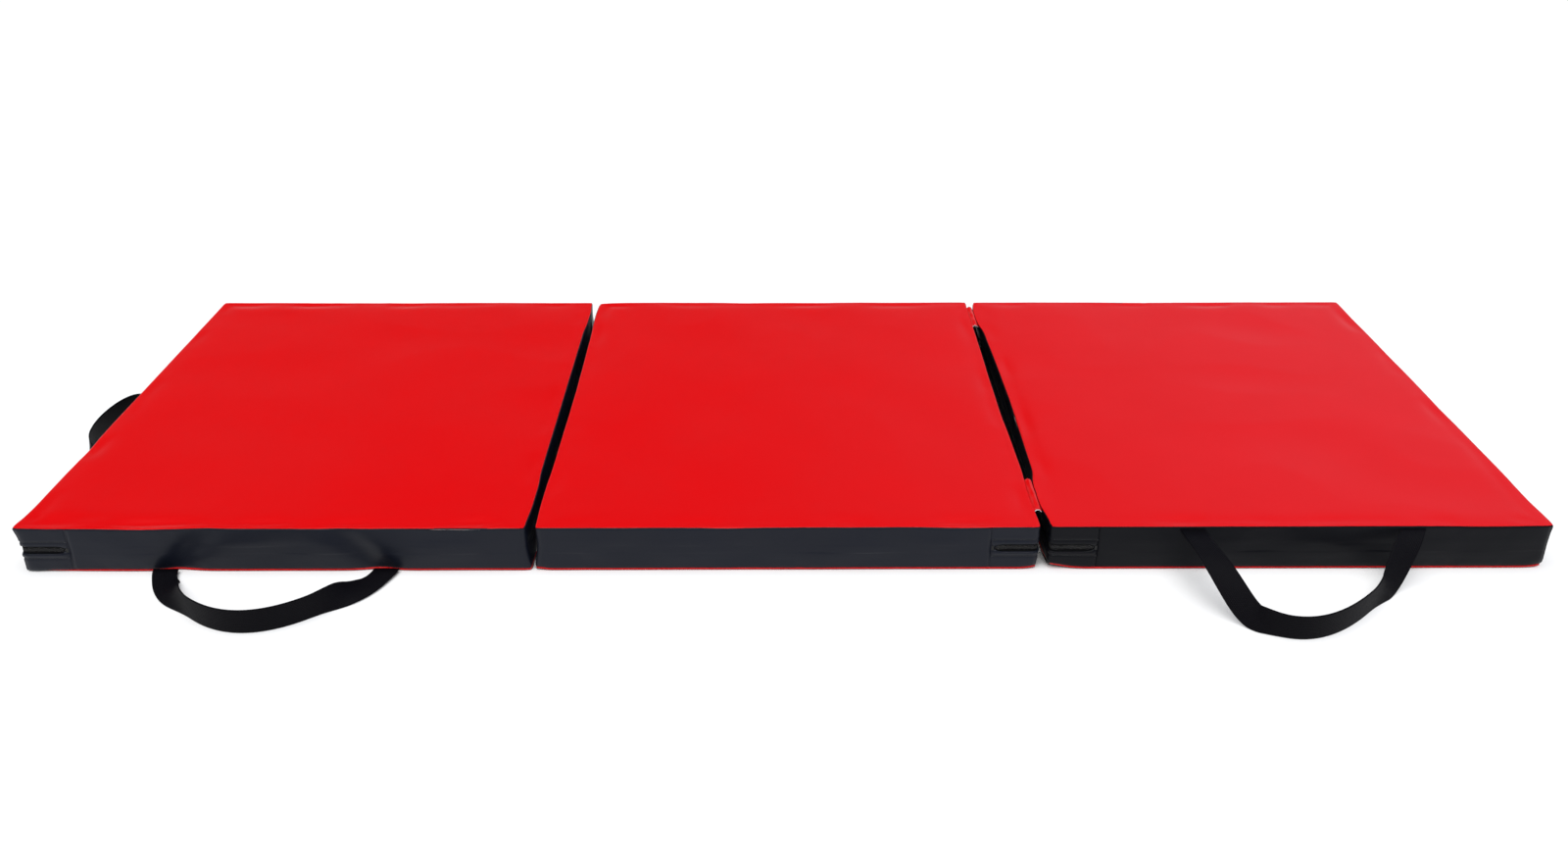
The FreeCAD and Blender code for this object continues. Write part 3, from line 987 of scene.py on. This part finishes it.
def buildTab(side, place, look):
    up = 1 if side > 0 else -1
    seamX = side * 302.0
    seamZ = 56.0 + seamLift - look["sunk"][1] if up > 0 else 3.0 + look["sunk"][-1]
    yMid = look["centres"][place]
    across, along = 17, 39
    name = ("right" if side > 0 else "left") + "HingeTab" + place
    for part, material, depth, thickness, extra in (
            ("", redVinyl, 0.0, look["vinyl"], 0.0),
            ("Backing", whiteKnit, look["vinyl"] + 0.02, look["knit"], look["peep"])):
        half = look["length"] / 2 - 1 + extra
        points = []
        for j in range(along):
            v = -1 + 2 * j / (along - 1)
            for i in range(across):
                u = -1 + 2 * i / (across - 1)
                crown = (1 - u * u) * look["bulge"][side] * (1 - 0.1 * math.cos(v * 9 + side))
                crown += 0.25 * math.sin(u * 9 + v * 2)
                if depth:
                    crown -= depth * 0.9
                x = seamX + look["shift"][side] + u * look["reach"][side]
                points.append((x, yMid + v * half, seamZ + up * crown))
        points = np.array(points)
        faces = np.array([(j * across + i, j * across + i + 1, (j + 1) * across + i + 1, (j + 1) * across + i)
                          for j in range(along - 1) for i in range(across - 1)])
        if up < 0:
            faces = faces[:, ::-1]
        normals = vertexNormals(points, faces)
        piece = addMesh(name + part, *thicken(points, normals, faces, thickness), material)
        piece.data.transform(Matrix.Scale(mm, 4))
        if not part:
            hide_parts(("right" if side > 0 else "left") + "_hinge_tab_" + place.lower())
        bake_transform(piece)


for jointSide in (-1, 1):
    for tabPlace in hingeTabs["centres"]:
        buildTab(jointSide, tabPlace, hingeTabs)
print("hinge tabs built")

# Webbing handles, in mm. Each leaves its seam flat, stands up on its edge, swings out and comes
# back the same way. Middle is halfway between its roots, and peak the share of the way to its far point.
webbingCut = {"width": 30.0, "thickness": 1.5, "lift": 0.2, "steps": 140, "rootGap": 1.5}
handles = {
    "frontLeftHandle": {
        "node": "front_left_handle", "panel": "left_panel",
        "from": (0, -0.350, 0.004), "to": (0, -0.366, 0.004),
        "middle": (-604, -350), "run": (1, 0), "out": (0, -1), "halfSpan": 130.0,
        "root": 3.4, "reach": 122.0, "peak": 0.5, "full": 0.7, "turn": 0.25, "fall": 0.1,
    },
    "frontRightHandle": {
        "node": "front_right_handle", "panel": "right_panel",
        "from": (0, -0.3512, 0.0565), "to": (0, -0.3535, 0.042),
        "middle": (604, -350), "run": (1, 0), "out": (0, -1), "halfSpan": 130.0,
        "root": 54.4, "reach": 140.0, "peak": 0.35, "full": 0.9, "turn": 0.3, "fall": 0.18,
    },
    "endHandle": {
        "node": "end_handle", "panel": "left_panel",
        "from": (-0.900, 0, 0.004), "to": (-0.914, 0, 0.004),
        "middle": (-900, 0), "run": (0, -1), "out": (-1, 0), "halfSpan": 125.0,
        "root": 3.4, "reach": 55.0, "peak": 0.5, "full": 0.6, "turn": 0.35, "fall": 0.1,
    },
}


def ease(t):
    t = min(1.0, max(0.0, t))
    return t * t * (3 - 2 * t)


def route(look, cut):
    # the strap's middle line, and the direction across it
    bend = math.log(0.5) / math.log(look["peak"])
    line, turns = [], []
    for k in range(cut["steps"] + 1):
        t = k / cut["steps"]
        near = min(t, 1 - t)
        sideways = look["halfSpan"] * (2 * t - 1)
        swing = max(0.0, math.sin(math.pi * t ** bend)) ** look["full"]
        outward = cut["rootGap"] + look["reach"] * swing
        height = look["root"] * (1 - ease(near / look["fall"]))
        tip = math.pi / 2 * ease(near / look["turn"])
        lean = math.cos(tip) if t < 0.5 else -math.cos(tip)
        x, y = (look["middle"][n] + look["run"][n] * sideways + look["out"][n] * outward for n in (0, 1))
        w = Vector((look["run"][0] * lean, look["run"][1] * lean, math.sin(tip)))
        rise = cut["width"] / 2 * w.z + cut["thickness"] / 2 * math.sqrt(max(0.0, 1 - w.z ** 2))
        line.append(Vector((x, y, height + cut["lift"] + rise)))
        turns.append(w)
    return line, turns


def ribbonSection(cut):
    # round the strap once: across and through positions, with soft selvedges
    half, thin = cut["width"] / 2, cut["thickness"] / 2
    spots = np.linspace(-1, 1, 15)
    upper = [(half * s - math.copysign(thin * 0.4, s) * (abs(s) > 0.99), thin) for s in spots]
    edge = [(half, 0.0)]
    lower = [(x, -thin) for x, _ in reversed(upper)]
    return upper + edge + lower + [(-half, 0.0)]


def buildHandle(name, look, cut):
    line, turns = route(look, cut)
    section = ribbonSection(cut)
    ring = len(section)
    points, lengths, run = [], [], 0.0
    for i, (middle, w) in enumerate(zip(line, turns)):
        ahead = line[min(i + 1, len(line) - 1)] - line[max(i - 1, 0)]
        face = ahead.cross(w).normalized()
        square = face.cross(ahead).normalized()
        fromEnd = min(i, len(line) - 1 - i) / cut["steps"]
        w = w.lerp(square, ease(fromEnd / 0.06 - 0.2)).normalized()  # the roots lie along the seam
        here = [middle + w * a + face * b for a, b in section]
        lift = max(0.0, cut["lift"] - min(q.z for q in here))
        points += [q + Vector((0, 0, lift)) for q in here]
        run += (line[i] - line[i - 1]).length if i else 0.0
        lengths.append(run)
    faces = []
    for i in range(len(line) - 1):
        for k in range(ring):
            n = (k + 1) % ring
            faces.append((i * ring + k, (i + 1) * ring + k, (i + 1) * ring + n, i * ring + n))
    ends = (len(line) - 1) * ring
    faces.append(tuple(range(ring)))
    faces.append(tuple(ends + k for k in reversed(range(ring))))
    piece = addMesh(name, points, faces, webbing)
    layer = piece.data.uv_layers.new(name="weave")
    for loopItem in piece.data.loops:
        i, k = divmod(loopItem.vertex_index, ring)
        layer.data[loopItem.index].uv = (lengths[i] * mm, section[k][0] * mm)
    piece.data.transform(Matrix.Scale(mm, 4))
    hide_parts(look["node"])
    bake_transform(piece)


for handleName, handleLook in handles.items():
    buildHandle(handleName, handleLook, webbingCut)
print("handles built")

# A pale floor under a broad soft light, with a white wall low down all round and nothing bright
# above it, so that the vinyl keeps its deep colour.
studio = {
    "floor": "#c6c6c6",
    "floorSize": 80.0,  # metres
    "floorGlow": 0.45,  # the floor glows by itself, painted light that keeps the shadows faint
    "overhead": {"strength": 3.1, "spread": 60.0, "tilt": (11.0, -5.0)},
    "wall": "#e9ecf0",
    "wallTop": 0.10,  # sine of the height where the wall starts to fade
    "darkFrom": 0.22,
    "darkLeft": "#16181c",
    "darkRight": "#8a92a6",  # a dim card stands at the right
}


def makeStudio(look):
    scene = bpy.context.scene
    scene.view_settings.view_transform = "Standard"
    half = look["floorSize"] / 2
    material, tree, shader, place = newMaterial(
        "matteWhiteFloor",
        {"Roughness": 0.95, "Specular IOR Level": 0.1, "Emission Color": toLinear("#ffffff")})
    speck = addNode(
        tree, "ShaderNodeTexNoise", {"Scale": 3.0, "Detail": 2.0}, {"Vector": place.outputs["Object"]})
    tone = addNode(
        tree, "ShaderNodeMix",
        {"data_type": "RGBA", 6: toLinear(look["floor"]), 7: toLinear("#c3c3c3")},
        {0: speck.outputs["Fac"]})
    # deep between two panels hardly any light arrives, so there the floor's glow is turned off and its colour
    # is painted near black: painted shade
    openness = addNode(tree, "ShaderNodeAmbientOcclusion", {"Distance": 0.07, "samples": 8})
    lit = addNode(
        tree, "ShaderNodeMapRange",
        {"From Min": 0.14, "From Max": 0.32, "interpolation_type": "SMOOTHSTEP"},
        {"Value": openness.outputs["AO"]})
    # painted light: the floor glows, less where it is closed in
    glow = addNode(
        tree, "ShaderNodeMath", {"operation": "MULTIPLY", 1: look["floorGlow"]}, {0: lit.outputs["Result"]})
    tree.links.new(glow.outputs[0], shader.inputs["Emission Strength"])
    # painted shade: the floor's colour goes to near black where it is closed in
    deep = addNode(
        tree, "ShaderNodeMix",
        {"data_type": "RGBA", 6: toLinear("#050505")},
        {0: lit.outputs["Result"], 7: tone.outputs[2]})
    tree.links.new(deep.outputs[2], shader.inputs["Base Color"])
    floor = addMesh("floor", [(-half, -half, 0), (half, -half, 0), (half, half, 0), (-half, half, 0)],
                    [(0, 1, 2, 3)], material, smooth=False)
    floor.location.z = -0.0002
    lamp = look["overhead"]
    data = bpy.data.lights.new("overhead", "SUN")
    data.energy = lamp["strength"]
    data.angle = math.radians(lamp["spread"])
    light = bpy.data.objects.new("overhead", data)
    light.rotation_euler = [math.radians(v) for v in lamp["tilt"]] + [0.0]
    scene.collection.objects.link(light)
    world = bpy.data.worlds.new("studio")
    world.use_nodes = True
    tree = world.node_tree
    backdrop = tree.nodes["Background"]
    heading = addNode(tree, "ShaderNodeTexCoord")
    apart = addNode(tree, "ShaderNodeSeparateXYZ", links={"Vector": heading.outputs["Generated"]})
    fade = addNode(
        tree, "ShaderNodeMapRange",
        {"From Min": look["wallTop"], "From Max": look["darkFrom"], "interpolation_type": "SMOOTHSTEP"},
        {"Value": apart.outputs["Z"]})
    card = addNode(
        tree, "ShaderNodeMapRange",
        {"From Min": -0.1, "From Max": 0.5, "interpolation_type": "SMOOTHSTEP"},
        {"Value": apart.outputs["X"]})
    above = addNode(
        tree, "ShaderNodeMix",
        {"data_type": "RGBA", 6: toLinear(look["darkLeft"]), 7: toLinear(look["darkRight"])},
        {0: card.outputs["Result"]})
    shade = addNode(
        tree, "ShaderNodeMix",
        {"data_type": "RGBA", 6: toLinear(look["wall"])},
        {0: fade.outputs["Result"], 7: above.outputs[2]})
    tree.links.new(shade.outputs[2], backdrop.inputs["Color"])
    scene.world = world


makeStudio(studio)
print("studio lit")
